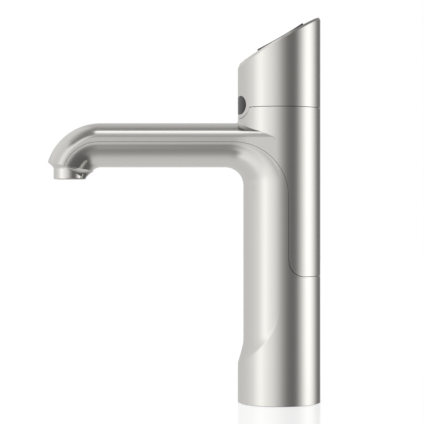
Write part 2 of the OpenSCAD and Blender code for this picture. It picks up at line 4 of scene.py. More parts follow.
import bpy
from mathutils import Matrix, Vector


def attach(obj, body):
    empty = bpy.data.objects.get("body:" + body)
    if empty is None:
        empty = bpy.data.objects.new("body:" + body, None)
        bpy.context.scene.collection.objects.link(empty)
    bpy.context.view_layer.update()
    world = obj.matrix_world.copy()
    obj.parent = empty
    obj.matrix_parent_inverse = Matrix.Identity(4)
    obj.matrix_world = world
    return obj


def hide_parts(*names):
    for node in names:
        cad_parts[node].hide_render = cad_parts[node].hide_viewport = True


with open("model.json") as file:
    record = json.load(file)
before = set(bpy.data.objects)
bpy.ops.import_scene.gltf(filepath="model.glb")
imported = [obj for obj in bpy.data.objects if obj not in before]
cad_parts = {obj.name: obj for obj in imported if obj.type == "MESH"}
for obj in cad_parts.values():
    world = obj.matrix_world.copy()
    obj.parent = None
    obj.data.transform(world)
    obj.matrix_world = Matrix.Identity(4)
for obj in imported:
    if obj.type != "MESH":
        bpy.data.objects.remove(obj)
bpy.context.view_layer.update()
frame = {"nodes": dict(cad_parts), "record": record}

# ---------------------------------------------------------------- sizes, in metres
MM = 0.001
BODY_R = 30 * MM
SKIN_R = BODY_R - 0.02 * MM              # outer faces stay just inside the solids
FRONT_DEEP = 26 * MM                     # column axis to the front of the column
PART_Z = 188 * MM                        # parting line of the spout
REACH = 151.5 * MM
ROOT_X = -3.5 * MM                       # the spout's sides leave the round body here,
ROOT_EASE = (-34 * MM, -22 * MM)         # and run parallel from here on
CROWN_H = 14.5 * MM
CROWN_SIDE = 2.8 * MM                    # upright strip between parting line and shoulder
TIP_SIDE = 1.7 * MM
TIP_LEAN = math.radians(14)
SHOULDER_R = 6 * MM
BELLY_H = 17.5 * MM
TIP_INNER_R = 8 * MM
ELBOW_INNER_R = 13.3 * MM
OUTLET_TILT = math.radians(10.6)
COVER_Z = 92 * MM
SWEEP_R = 39 * MM
CORNER_R = 12 * MM
HALF_GAP = 0.12 * MM
GROOVE_DEEP, GROOVE_COLUMN = 0.07 * MM, 4   # fine line round the tip, above the parting line
FOOT_Z = 28.3 * MM
FOOT_ARC = 151 * MM
FOOT_ARC_Z = 75 * MM
FOOT_AXIS_X = 8 * MM
FOOT_LIFT = 0.3 * MM
SEAM_Z = 213.1 * MM
FACE_Z = 262.5 * MM
FACE_TILT = math.radians(30.3)
HEAD_WALL = 3.2 * MM
RIM_LOW = 0.4 * MM                       # the rim stands this much below the solid's
WINDOW_Z = 215 * MM
WINDOW_HALF_W = 17.5 * MM
WINDOW_HALF_H = 6.6 * MM
WINDOW_FRAME = 2.8 * MM
FILLET_MID, FILLET_SIDE = 1.6 * MM, 0.5 * MM   # spout top into the collar
WIDE_GAP = 0.2 * MM                      # half of the joints round the collar and below the rear cover
CASE_WALL = 1.6 * MM
CASE_EDGE = 0.08 * MM
STRIP_H = 0.5 * MM                       # upright strip of the casting, below the parting line

TIP_X = -REACH + 22 * MM
TIP_PART_R = TIP_INNER_R + BELLY_H
TIP_Z = PART_Z - TIP_PART_R
OUTLET_Z = TIP_Z + 8.4 * MM
ELBOW_X = -FRONT_DEEP - ELBOW_INNER_R
ELBOW_Z = PART_Z - BELLY_H - ELBOW_INNER_R
SWEEP_X = -33.5 * MM
SWEEP_Z = PART_Z - SWEEP_R
PART_BACK_X = SWEEP_X + SWEEP_R          # where the parting line runs straight down
CORNER_Z = COVER_Z + CORNER_R


# ---------------------------------------------------------------- handling pieces
def alone(*pieces):
    """Select only these pieces; the last one is active."""
    if bpy.context.mode != "OBJECT":
        bpy.ops.object.mode_set(mode="OBJECT")
    bpy.ops.object.select_all(action="DESELECT")
    for piece in pieces:
        piece.select_set(True)
    bpy.context.view_layer.objects.active = pieces[-1]


def named(name):
    """Take the new primitive as a piece of this name."""
    piece = bpy.context.object
    piece.name = name
    piece.data.name = name
    return piece


def settle(piece):
    """Put the piece's place into its mesh."""
    alone(piece)
    bpy.ops.object.transform_apply(location=True, rotation=True, scale=True)
    return piece


def in_edit(piece, pick=None, kind="VERT"):
    """Go into edit mode with only the vertices, edges or faces selected that pick chooses."""
    alone(piece)
    mesh = piece.data
    for group in (mesh.vertices, mesh.edges, mesh.polygons):
        group.foreach_set("select", [False] * len(group))
    if pick and kind == "VERT":
        for vertex in mesh.vertices:
            vertex.select = bool(pick(vertex.co))
    if pick and kind == "EDGE":
        points = mesh.vertices
        for edge in mesh.edges:
            a, b = edge.vertices
            edge.select = bool(pick(points[a].co, points[b].co))
    if pick and kind == "FACE":
        for face in mesh.polygons:
            face.select = bool(pick(face))
    bpy.context.tool_settings.mesh_select_mode = (kind == "VERT", kind == "EDGE", kind == "FACE")
    bpy.ops.object.mode_set(mode="EDIT")


def done():
    bpy.ops.object.mode_set(mode="OBJECT")


def loft(name, stations):
    """A grid laid over stations, each a list of points, with rows running from one station to the next."""
    rows, cols = len(stations), len(stations[0])
    bpy.ops.mesh.primitive_grid_add(x_subdivisions=cols - 1, y_subdivisions=rows - 1, size=1)
    piece = named(name)
    for vertex in piece.data.vertices:
        i = round((vertex.co.x + 0.5) * (cols - 1))
        j = round((vertex.co.y + 0.5) * (rows - 1))
        vertex.co = stations[j][i]
    return piece


def joined(name, *pieces):
    """Weld pieces whose edges meet, with their faces turned outward."""
    alone(*pieces)
    if len(pieces) > 1:
        bpy.ops.object.join()
    piece = named(name)
    in_edit(piece, lambda co: True)
    bpy.ops.mesh.remove_doubles(threshold=0.004 * MM)
    bpy.ops.mesh.dissolve_degenerate(threshold=0.002 * MM)
    bpy.ops.mesh.select_all(action="SELECT")
    bpy.ops.mesh.normals_make_consistent(inside=False)
    done()
    return piece


def modify(piece, kind, **settings):
    alone(piece)
    modifier = piece.modifiers.new(kind.title(), kind)
    for key, value in settings.items():
        setattr(modifier, key, value)
    bpy.ops.object.modifier_apply(modifier=modifier.name)
    return piece


def wall(piece, thickness):
    """Give a skin its thickness, inward."""
    return modify(piece, "SOLIDIFY", thickness=thickness, offset=-1, use_even_offset=True)


def soften(piece, width, angle=40, segments=2):
    """Round the edges that are sharper than an angle, and drop the empty faces that this leaves."""
    modify(piece, "BEVEL", width=width, segments=segments, limit_method="ANGLE",
           angle_limit=math.radians(angle), use_clamp_overlap=True, harden_normals=False)
    in_edit(piece, lambda co: True)
    bpy.ops.mesh.remove_doubles(threshold=0.001 * MM)
    bpy.ops.mesh.dissolve_degenerate(threshold=0.001 * MM)
    done()
    return piece


def cut(piece, cutter, keep="DIFFERENCE"):
    modify(piece, "BOOLEAN", object=cutter, operation=keep, solver="EXACT")
    bpy.data.objects.remove(cutter)
    return piece


def shade(piece, angle=30):
    alone(piece)
    bpy.ops.object.shade_smooth_by_angle(angle=math.radians(angle))
    return piece


def skin_turned_out(piece, inside):
    """Turn an open skin so that its faces point away from a point inside it."""
    face = max(piece.data.polygons, key=lambda f: f.area)
    if (face.center - Vector(inside)).dot(face.normal) < 0:
        in_edit(piece, lambda co: True)
        bpy.ops.mesh.select_all(action="SELECT")
        bpy.ops.mesh.flip_normals()
        done()
    return piece


def solid_turned_out(piece):
    """Turn a closed form whose faces point inward, as its volume then comes out negative."""
    if sum(face.area * face.center.dot(face.normal) for face in piece.data.polygons) < 0:
        in_edit(piece, lambda co: True)
        bpy.ops.mesh.select_all(action="SELECT")
        bpy.ops.mesh.flip_normals()
        done()
    return piece


def span(a, b, n):
    return [a + (b - a) * k / n for k in range(n + 1)]


def smooth(t):
    t = min(max(t, 0.0), 1.0)
    return t * t * (3 - 2 * t)


# ---------------------------------------------------------------- forms shared by the casings
def half_width(x):
    """Half of the tap's width at a distance along the spout: flat sides that spread into the round body."""
    if x > ROOT_X:
        return math.sqrt(SKIN_R ** 2 - x ** 2)
    tangent = math.sqrt(SKIN_R ** 2 - ROOT_X ** 2)
    slope = -ROOT_X / tangent
    far, close = ROOT_EASE
    if x > close:
        return tangent + (x - ROOT_X) * slope
    # a parabola takes the slope away
    spread = slope / (2 * (close - far))
    low = tangent + (close - ROOT_X) * slope - spread * (close - far) ** 2
    return low + spread * max(x - far, 0) ** 2


def tip_angle(r):
    """How far the tip turns at a radius before it meets the slanted cut."""
    slope = -math.tan(OUTLET_TILT)
    c = OUTLET_Z + slope * (TIP_X + REACH) - TIP_Z
    return -OUTLET_TILT + math.acos(c * math.cos(OUTLET_TILT) / r)


def sweep_reach(phi):
    """Distance from the elbow's centre to the parting line."""
    dx, dz = SWEEP_X - ELBOW_X, SWEEP_Z - ELBOW_Z
    straight = PART_Z - ELBOW_Z
    if math.tan(min(phi, 1.5)) * straight < dx:
        return straight / math.cos(phi)
    b = dx * math.sin(phi) + dz * math.cos(phi)
    return b + math.sqrt(b * b + SWEEP_R ** 2 - dx * dx - dz * dz)


def scoop(theta, z):
    """Radius of the foot's scooped shoulder, theta from the front."""
    rho = 30.8 * MM + FOOT_ARC - math.sqrt(max(FOOT_ARC ** 2 - (FOOT_ARC_Z - z) ** 2, 0))
    return -FOOT_AXIS_X * math.cos(theta) + math.sqrt(max(rho ** 2 - (FOOT_AXIS_X * math.sin(theta)) ** 2, 0))


def crease_z(theta):
    """Height at which the scooped shoulder leaves the round foot."""
    low, high = 20 * MM, FOOT_ARC_Z
    if scoop(theta, low) <= BODY_R:
        return low
    for _ in range(40):
        mid = (low + high) / 2
        low, high = (mid, high) if scoop(theta, mid) > BODY_R else (low, mid)
    return max(low, FOOT_Z)


def soft_max(a, b, k):
    h = max(k - abs(a - b), 0) / k
    return max(a, b) + h * h * k / 4


# ---------------------------------------------------------------- lower casting
def belly_station(count, cx, cz, side, phi, r_in, r_wide, r_part, strip):
    """One section of the sweep, from parting line to parting line."""
    flat = []
    for k in range(strip):
        r = r_part + (r_wide - r_part) * k / strip
        x = cx + side * r * math.sin(phi)
        flat.append((x, half_width(x), cz + r * math.cos(phi)))
    w = half_width(cx + side * r_wide * math.sin(phi))
    round_part = []
    for k in range(count + 1):
        t = math.pi * k / count
        r = r_wide - (r_wide - r_in) * math.sin(t)
        round_part.append((cx + side * r * math.sin(phi), w * math.cos(t), cz + r * math.cos(phi)))
    back = [(x, -y, z) for x, y, z in reversed(flat)]
    return flat + round_part + back


def lower_casting():
    around, strip = 96, 6
    stations = []
    part_r = TIP_PART_R - HALF_GAP
    # tip: each point turns until it meets the slanted cut
    for turn in span(1, 0, 36):
        ring = belly_station(around, TIP_X, TIP_Z, -1, 0, TIP_INNER_R, TIP_PART_R - STRIP_H, part_r, strip)
        turned = []
        for x, y, z in ring:
            r = z - TIP_Z
            a = tip_angle(r) * turn
            turned.append((TIP_X - r * math.sin(a), y, TIP_Z + r * math.cos(a)))
        stations.append(turned)
    for x in span(TIP_X, ELBOW_X, 10)[1:-1]:
        stations.append(belly_station(
            around, x, TIP_Z, -1, 0, TIP_INNER_R, TIP_PART_R - STRIP_H, part_r, strip))
    straight_r = PART_Z - ELBOW_Z
    for phi in span(0, math.pi / 2, 40):
        grow = smooth(phi / (math.pi / 2))
        wide = straight_r - STRIP_H + (FRONT_DEEP + ELBOW_INNER_R - straight_r + STRIP_H) * grow
        stations.append(belly_station(
            around, ELBOW_X, ELBOW_Z, 1, phi, ELBOW_INNER_R, wide, sweep_reach(phi) - HALF_GAP, strip))

    def column_ring(z_of, back_x):
        ring = []
        for k in range(strip):
            x = back_x * (1 - k / strip)
            ring.append((x, half_width(x), z_of(math.pi - math.acos(x / SKIN_R))))
        for k in range(around + 1):
            t = math.pi * k / around
            x, y = -FRONT_DEEP * math.sin(t), half_width(0) * math.cos(t)
            ring.append((x, y, z_of(math.atan2(abs(y), -x))))
        return ring + [(x, -y, z) for x, y, z in reversed(ring[:strip])]

    back_x = PART_BACK_X - HALF_GAP
    for z in (154 * MM, 151 * MM, 149 * MM):
        x = SWEEP_X + math.sqrt((SWEEP_R - HALF_GAP) ** 2 - (z - SWEEP_Z) ** 2)
        stations.append(column_ring(lambda theta: z, x))
    column_rows = [140 * MM, 126 * MM, 112 * MM, CORNER_Z, 98 * MM, 90 * MM, 82 * MM, FOOT_ARC_Z]
    for z in column_rows:
        stations.append(column_ring(lambda theta: z, back_x))
    # scooped shoulder, down to its crease with the round foot
    for f in span(0, 1, 26)[1:]:
        ring = []
        for x, y, z in column_ring(lambda theta: FOOT_ARC_Z + (crease_z(theta) - FOOT_ARC_Z) * f, back_x):
            theta = math.atan2(abs(y), -x)
            r = math.hypot(x, y)
            target = min(soft_max(r, scoop(theta, z), 0.5 * MM) if theta < math.pi / 2 else r, SKIN_R)
            if f == 1:
                target = SKIN_R
            ring.append((x * target / r, y * target / r, z))
        stations.append(ring)
    crease = stations[-1]
    for drop in (0.25 * MM, 1 * MM):
        stations.append([(x, y, z - drop) for x, y, z in crease])
    crease = stations[-1]
    for f in (0.3, 0.65, 1):
        stations.append([(x, y, z + (FOOT_LIFT - z) * f) for x, y, z in crease])
    front = loft("front", stations)

    # the foot's back, up to the lower edge of the rear cover
    edge = [station[0] for station in stations if station[0][2] <= CORNER_Z + 1e-6 and station[0][0] > 0]
    start = math.atan2(edge[0][1], -edge[0][0])
    back_rows = []
    for point in edge:
        row = []
        for k in range(97):
            theta = start + (2 * math.pi - 2 * start) * k / 96
            x, y = -SKIN_R * math.cos(theta), SKIN_R * math.sin(theta)
            top = COVER_Z - WIDE_GAP
            if x < PART_BACK_X + CORNER_R:
                inner = CORNER_R + WIDE_GAP
                top = CORNER_Z - math.sqrt(max(inner ** 2 - (PART_BACK_X + CORNER_R - x) ** 2, 0))
            share = (point[2] - FOOT_LIFT) / (edge[0][2] - FOOT_LIFT)
            if k in (0, 96):
                row.append((point[0], point[1] if k == 0 else -point[1], point[2]))
            else:
                row.append((x, y, FOOT_LIFT + (top - FOOT_LIFT) * share))
        back_rows.append(row)
    back = loft("back", back_rows)
    cap = loft("cap", [stations[0], [(p[0], 0, p[2]) for p in stations[0]]])
    piece = joined("lower_casting", front, back, cap)
    skin_turned_out(piece, (2 * MM, 0, 100 * MM))
    wall(piece, CASE_WALL)
    soften(piece, CASE_EDGE, 45)
    shade(piece, 20)
    return piece


# ---------------------------------------------------------------- upper shell
TIP_ROWS, STRAIGHT_ROWS, ROOT_ROWS, FILLET_ROWS, COLLAR_ROWS = 36, 10, 14, 8, 14
ROOT_START = TIP_ROWS + STRAIGHT_ROWS
ROOT_END = ROOT_START + ROOT_ROWS


def crown_section(x, tip=0.0):
    """The crown across the spout, as (y, height, normal): upright strips, shoulder arcs and a wide arc.
    At the tip the strips are lower and the shoulders lean inward from them."""
    wide = half_width(x)
    side = CROWN_SIDE + (TIP_SIDE - CROWN_SIDE) * tip
    shoulder = SHOULDER_R + 2 * MM * tip
    lean = TIP_LEAN * tip
    inner, low = wide - shoulder * math.cos(lean), side - shoulder * math.sin(lean)
    rise = CROWN_H - low
    big = (inner ** 2 + rise ** 2 - shoulder ** 2) / (2 * (rise - shoulder))
    turn = math.atan2(inner, big - rise)
    half = [(wide, h, (1, 0)) for h in (HALF_GAP, 0.4 * side, 0.7 * side, side - 0.3 * MM)]
    arcs = [(inner, low, shoulder, a) for a in span(math.pi / 2 - lean, turn, 20)]
    arcs += [(0, CROWN_H - big, big, a) for a in span(turn, 0, 40)[1:]]
    half += [(y + r * math.sin(a), h + r * math.cos(a), (math.sin(a), math.cos(a))) for y, h, r, a in arcs]
    return half + [(-y, h, (-ny, nh)) for y, h, (ny, nh) in reversed(half[:-1])]


def fillet(y, h):
    """Fillet radius between crown and collar: largest in the middle, nothing at the parting line."""
    wide = FILLET_SIDE + (FILLET_MID - FILLET_SIDE) * (1 - smooth(abs(y) / (20 * MM)))
    return wide * smooth((h - HALF_GAP) / (5 * MM))


def crease_point(column):
    """Where the ball that rolls between crown and collar stands, and where it touches the two."""
    far, close = -1.2 * BODY_R, ROOT_X
    for _ in range(40):
        x = (far + close) / 2
        y, h, (ny, nh) = crown_section(x)[column]
        r = fillet(y, h)
        outside = x ** 2 + (y + ny * r) ** 2 > (SKIN_R + r) ** 2
        far, close = (x, close) if outside else (far, x)
    if h <= HALF_GAP:
        x, y, r = ROOT_X, math.copysign(half_width(ROOT_X), y), 0
    centre = (x, y + ny * r, PART_Z + h + nh * r)
    share = SKIN_R / (SKIN_R + r)
    return r, Vector(centre), Vector((x, y, PART_Z + h)), Vector((x * share, centre[1] * share, centre[2]))


def upper_shell():
    stations = []
    for turn in span(1, 0, TIP_ROWS):
        ring = []
        section = crown_section(TIP_X, smooth(turn * 2))
        for column, (y, h, _) in enumerate(section):
            r = TIP_PART_R + h
            if min(column, len(section) - 1 - column) == GROOVE_COLUMN:
                y -= math.copysign(GROOVE_DEEP * smooth(turn * 3), y)
            a = tip_angle(r) * turn
            ring.append((TIP_X - r * math.sin(a), y, TIP_Z + r * math.cos(a)))
        stations.append(ring)
    for x in span(TIP_X, SWEEP_X, STRAIGHT_ROWS)[1:]:
        stations.append([(x, y, PART_Z + h) for y, h, _ in crown_section(x)])
    crease = [crease_point(column) for column in range(len(section))]
    for f in span(0, 1, ROOT_ROWS)[1:]:
        ring = []
        for column, (_, _, foot, _) in enumerate(crease):
            x = SWEEP_X + (foot.x - SWEEP_X) * f
            y, h, _ = crown_section(x)[column]
            ring.append((x, y, PART_Z + h) if f < 1 else tuple(foot))
        stations.append(ring)
    for f in span(0, 1, FILLET_ROWS)[1:]:
        ring = []
        for r, centre, foot, touch in crease:
            out = (foot - centre).lerp(touch - centre, f)
            ring.append(tuple(centre + out.normalized() * r) if f < 1 else tuple(touch))
        stations.append(ring)
    contact = stations[-1]
    collar_top = SEAM_Z - WIDE_GAP
    for f in span(0, 1, COLLAR_ROWS)[1:]:
        stations.append([(x, y, z + (collar_top - z) * f) for x, y, z in contact])
    front = loft("front", stations)
    # up the collar, where the back joins
    edge_heights = [station[0][2] for station in stations[ROOT_END + FILLET_ROWS:]]

    # flat sides below the crown, down to the parting line
    sides = []
    for column in (0, -1):
        tops = [station[column] for station in stations[ROOT_START:ROOT_END + 1]]
        rows = []
        for f in span(0, 1, 14):
            row = []
            for x, y, z in tops:
                low = SWEEP_Z + math.sqrt((SWEEP_R + HALF_GAP) ** 2 - (x - SWEEP_X) ** 2)
                row.append((x, y, z + (min(low, z) - z) * f))
            rows.append(row)
        sides.append(loft("side", rows))
    edge_heights = [row[-1][2] for row in reversed(rows)] + edge_heights[1:]

    # round back of the collar and the rear cover
    start = math.acos(-ROOT_X / SKIN_R)
    arc_end = math.acos(-(PART_BACK_X + HALF_GAP) / SKIN_R)
    corner_end = math.acos(-(PART_BACK_X + CORNER_R) / SKIN_R)
    angles = span(start, arc_end, 12)[:-1] + [arc_end - 0.0006, arc_end]
    angles += span(arc_end, corner_end, 14)[1:]
    angles += span(corner_end, 2 * math.pi - corner_end, 60)[1:-1]
    angles += [2 * math.pi - a for a in reversed(angles[:angles.index(corner_end) + 1])]

    def bottom(theta):
        x = -SKIN_R * math.cos(theta)
        if theta < arc_end - 1e-6 or theta > 2 * math.pi - arc_end + 1e-6:
            return SWEEP_Z + math.sqrt(max((SWEEP_R + HALF_GAP) ** 2 - (x - SWEEP_X) ** 2, 0))
        if x < PART_BACK_X + CORNER_R:
            inner = CORNER_R - WIDE_GAP
            return CORNER_Z - math.sqrt(max(inner ** 2 - (PART_BACK_X + CORNER_R - x) ** 2, 0))
        return COVER_Z + WIDE_GAP

    rows = []
    for height in edge_heights:
        f = (height - edge_heights[0]) / (collar_top - edge_heights[0])
        row = []
        for theta in angles:
            z = bottom(theta)
            row.append((-SKIN_R * math.cos(theta), SKIN_R * math.sin(theta), z + (collar_top - z) * f))
        row[0], row[-1] = (ROOT_X, half_width(ROOT_X), height), (ROOT_X, -half_width(ROOT_X), height)
        rows.append(row)
    back = loft("back", rows)
    cap = loft("cap", [stations[0], [(p[0], 0, p[2]) for p in stations[0]]])
    piece = joined("upper_shell", front, *sides, back, cap)
    skin_turned_out(piece, (5 * MM, 0, 205 * MM))
    wall(piece, CASE_WALL)
    grown = WINDOW_FRAME + 2 * WIDE_GAP
    cut(piece, pill_prism("notch", WINDOW_HALF_W + grown, WINDOW_HALF_H + grown))
    # the collar's corners beside the tab are eased
    notch_r = WINDOW_HALF_H + grown
    meets = WINDOW_HALF_W - WINDOW_HALF_H + math.sqrt(notch_r ** 2 - (WINDOW_Z - collar_top) ** 2)
    corner_shape = ((-1, 1), (-1, -0.75), (0.3, -0.55), (2.9, 1), (-1, 1))
    for side in (1, -1):
        corner = [(side * (meets + across * MM), collar_top + up * MM) for across, up in corner_shape]
        middle = [(side * meets, collar_top + 0.5 * MM)] * len(corner)
        ends = ((-40 * MM, middle), (-40 * MM, corner), (-10 * MM, corner), (-10 * MM, middle))
        cut(piece, joined("wedge", loft("wedge", [[(x, *point) for point in points] for x, points in ends])))
    soften(piece, CASE_EDGE, 45)
    shade(piece, 20)
    return piece


def pill_prism(name, half_w, half_h, x0=-40 * MM, x1=-5 * MM):
    """A pill on its side, seen from the front, as a bar along the spout's direction."""
    bpy.ops.mesh.primitive_cylinder_add(
        vertices=96, radius=half_h, depth=x1 - x0, rotation=(0, math.pi / 2, 0),
        location=((x0 + x1) / 2, 0, WINDOW_Z))
    piece = settle(named(name))
    for side in (1, -1):
        in_edit(piece, lambda co: co.y * side > 1e-6)
        bpy.ops.transform.translate(value=(0, side * (half_w - half_h), 0))
        done()
    return piece


# ---------------------------------------------------------------- head
def head_casing():
    """A tube cut off at a slope, with a rounded rim and a pocket that takes the control face."""
    def ring(inset, drop, height=None):
        """A ring below the sloping rim; inset and drop are (everywhere, more at the front and rear)."""
        points = []
        for k in range(361):
            turn = 2 * math.pi * k / 360
            front = smooth((math.cos(turn) * BODY_R - 12 * MM) / (16 * MM))
            rear = smooth((-math.cos(turn) * BODY_R - 24 * MM) / (6 * MM))
            ends = front + 0.7 * rear
            r = SKIN_R - (inset[0] + inset[1] * ends)
            x = -r * math.cos(turn)
            z = FACE_Z - RIM_LOW + x * math.tan(FACE_TILT) - (drop[0] + drop[1] * ends)
            points.append((x, r * math.sin(turn), z if height is None else height))
        return points

    seat = 2.8 * MM / math.cos(FACE_TILT) - RIM_LOW
    bottom = SEAM_Z - 12 * MM
    pocket = 2.2 * MM
    stations = [ring((HEAD_WALL, 0), (0, 0), bottom), ring((HEAD_WALL, 0), (seat, 0)),
                ring((pocket, 0), (seat, 0)), ring((pocket, 0), (0.25 * MM, 0)), ring((2.0 * MM, 0), (0, 0))]
    rim = ((1, 0), (0.8, 0.04), (0.66, 0.14), (0.4, 0.48), (0.1, 0.88), (0.02, 0.97), (0, 1.08))
    for inset, drop in rim:
        stations.append(ring((0.6 * MM * inset, 0.9 * MM * inset), (1.8 * MM * drop, 0.7 * MM * drop)))
    stations.append(ring((0, 0), (2.6 * MM, 0.8 * MM)))
    edge = stations[-1]
    for f in span(0, 1, 12)[1:]:
        stations.append([(x, y, z + (bottom - z) * f) for x, y, z in edge])
    stations.append(stations[0])
    piece = joined("head_casing", loft("head_casing", stations))
    # all below the seam goes, but for the tab that frames the window
    bpy.ops.mesh.primitive_cylinder_add(
        vertices=64, radius=2 * BODY_R, depth=60 * MM, location=(0, 0, SEAM_Z + WIDE_GAP - 30 * MM))
    below = settle(named("below"))
    cut(below, pill_prism("tab", WINDOW_HALF_W + WINDOW_FRAME, WINDOW_HALF_H + WINDOW_FRAME, -90 * MM))
    cut(piece, below)
    cut(piece, pill_prism("window", WINDOW_HALF_W, WINDOW_HALF_H))
    soften(piece, 0.18 * MM, 50)
    shade(piece, 20)
    return piece


# ---------------------------------------------------------------- nozzle
NOZZLE_R = 11.7 * MM
NOZZLE_X = -REACH - 0.5 * MM
LIP_Z = OUTLET_Z - 9.2 * MM
LIP_ROUND = 0.9 * MM
BORE_R = 9.3 * MM
FLARE_POWER = 2.2


def nozzle_ring(t, count=144):
    """A ring between the slanted cut and the lip; the flare is widest and longest on the column's side."""
    ring = []
    for k in range(count + 1):
        a = 2 * math.pi * k / count
        flare = (4.9 + 1.1 * math.cos(a) - 2.2 * math.sin(a) ** 2) * MM
        length = (5.2 + 2.8 * max(math.cos(a), 0) ** 2 - 2.2 * math.sin(a) ** 2) * MM
        top = OUTLET_Z - (NOZZLE_X + REACH + (NOZZLE_R + flare) * math.cos(a)) * math.tan(OUTLET_TILT)
        bottom = LIP_Z + LIP_ROUND
        z = top + (bottom - top) * t
        left, end = 1 - (top - z) / length, 1 - (top - bottom) / length
        r = NOZZLE_R + flare * (max(left, 0) ** FLARE_POWER - max(end, 0) ** FLARE_POWER * t)
        ring.append((NOZZLE_X + r * math.cos(a), r * math.sin(a), z))
    return ring


def outlet_nozzle():
    stations = [nozzle_ring(t) for t in span(0, 1, 32)]

    def level(r, z):
        return [(NOZZLE_X + r * math.cos(2 * math.pi * k / 144), r * math.sin(2 * math.pi * k / 144), z)
                for k in range(145)]

    for a in span(0, math.pi / 2, 6)[1:]:
        draw_in, lift = LIP_ROUND * (1 - math.cos(a)), LIP_ROUND * (1 - math.sin(a))
        stations.append(level(NOZZLE_R - draw_in, LIP_Z + lift))
    for a in span(0, math.pi / 2, 6):
        stations.append(level(BORE_R + LIP_ROUND * (1 - math.sin(a)), LIP_Z + LIP_ROUND * (1 - math.cos(a))))
    stations.append(level(BORE_R, OUTLET_Z - 4.6 * MM))
    stations.append(level(BORE_R, OUTLET_Z - 3 * MM))
    stations.append(stations[0])
    piece = joined("outlet_nozzle", loft("outlet_nozzle", stations))
    solid_turned_out(piece)
    shade(piece, 30)
    return piece


# ---------------------------------------------------------------- control face
def on_face(u, v, w):
    """A point of the slanted control face: u up the slope, v across, w out of it."""
    return (u * math.cos(FACE_TILT) - w * math.sin(FACE_TILT), v,
            FACE_Z + u * math.sin(FACE_TILT) + w * math.cos(FACE_TILT))


BUTTON_LO, BUTTON_HI = -18.2 * MM, 19.3 * MM
BUTTON_R = 24.6 * MM
BUTTON_END = 1.3 * MM
DISH = 1.0 * MM
CAP_FLOOR = -3.9 * MM
CAP_WALL = 0.7 * MM
FASCIA_TOP, FASCIA_LOW = -0.83 * MM, -2.8 * MM   # the top is just below the ends of the light guides
LOCK_U = -25.5 * MM
LOCK_R = 4 * MM


def large_button(name, side):
    """A half-moon cap with a dished top: its outline is drawn round its middle and drawn in at the edge."""
    mid = (BUTTON_LO + BUTTON_HI) / 2
    half = (BUTTON_HI - BUTTON_LO) / 2
    dish_r = (half ** 2 + DISH ** 2) / (2 * DISH)
    inner = 0.3 * MM

    def outline(draw_in):
        points = []
        lo, hi, r, inn = BUTTON_LO + draw_in, BUTTON_HI - draw_in, BUTTON_R - draw_in, inner + draw_in
        for u in span(hi, lo, 48):
            points.append((u, math.sqrt(r ** 2 - (u * math.cos(FACE_TILT)) ** 2)))
        for v in span(points[-1][1], inn, 20)[1:]:
            points.append((lo, v))
        for u in span(lo, hi, 48)[1:]:
            points.append((u, inn))
        for v in span(inn, points[0][1], 20)[1:]:
            points.append((hi, v))
        return points

    def top(u):
        return BUTTON_END - DISH + dish_r - math.sqrt(dish_r ** 2 - (u - mid) ** 2)

    stations = []
    edge = 0.5 * MM
    stations.append([on_face(u, side * v, CAP_FLOOR) for u, v in outline(0)])
    for a in span(0, math.pi / 2, 6):
        draw = edge * (1 - math.cos(a))
        stations.append([on_face(u, side * v, top(u) - edge * (1 - math.sin(a))) for u, v in outline(draw)])
    rim = outline(edge)
    cv = 12.5 * MM
    for f in span(1, 0, 12)[1:]:
        drawn = [(mid + (u - mid) * f, cv + (v - cv) * f) for u, v in rim]
        stations.append([on_face(u, side * v, top(u)) for u, v in drawn])
    piece = joined(name, loft(name, stations))
    skin_turned_out(piece, on_face(mid, side * cv, CAP_FLOOR))
    wall(piece, CAP_WALL)
    shade(piece, 35)
    return piece


def lock_cap():
    bpy.ops.mesh.primitive_cylinder_add(vertices=96, radius=LOCK_R, depth=4.3 * MM)
    piece = named("lock_cap")
    for vertex in piece.data.vertices:
        x, y, z = vertex.co
        vertex.co = on_face(LOCK_U + x, y, -1.65 * MM + z)
    normal = Vector((-math.sin(FACE_TILT), 0, math.cos(FACE_TILT)))
    in_edit(piece, lambda f: f.normal.dot(normal) > 0.99, "FACE")
    bpy.ops.mesh.inset(thickness=0.9 * MM)
    bpy.ops.mesh.inset(thickness=0.5 * MM, depth=-0.35 * MM)
    done()
    in_edit(piece, lambda f: f.normal.dot(normal) < -0.99, "FACE")
    bpy.ops.mesh.delete(type="ONLY_FACE")
    done()
    soften(piece, 0.3 * MM, 40, 3)
    wall(piece, CAP_WALL)
    shade(piece, 35)
    return piece


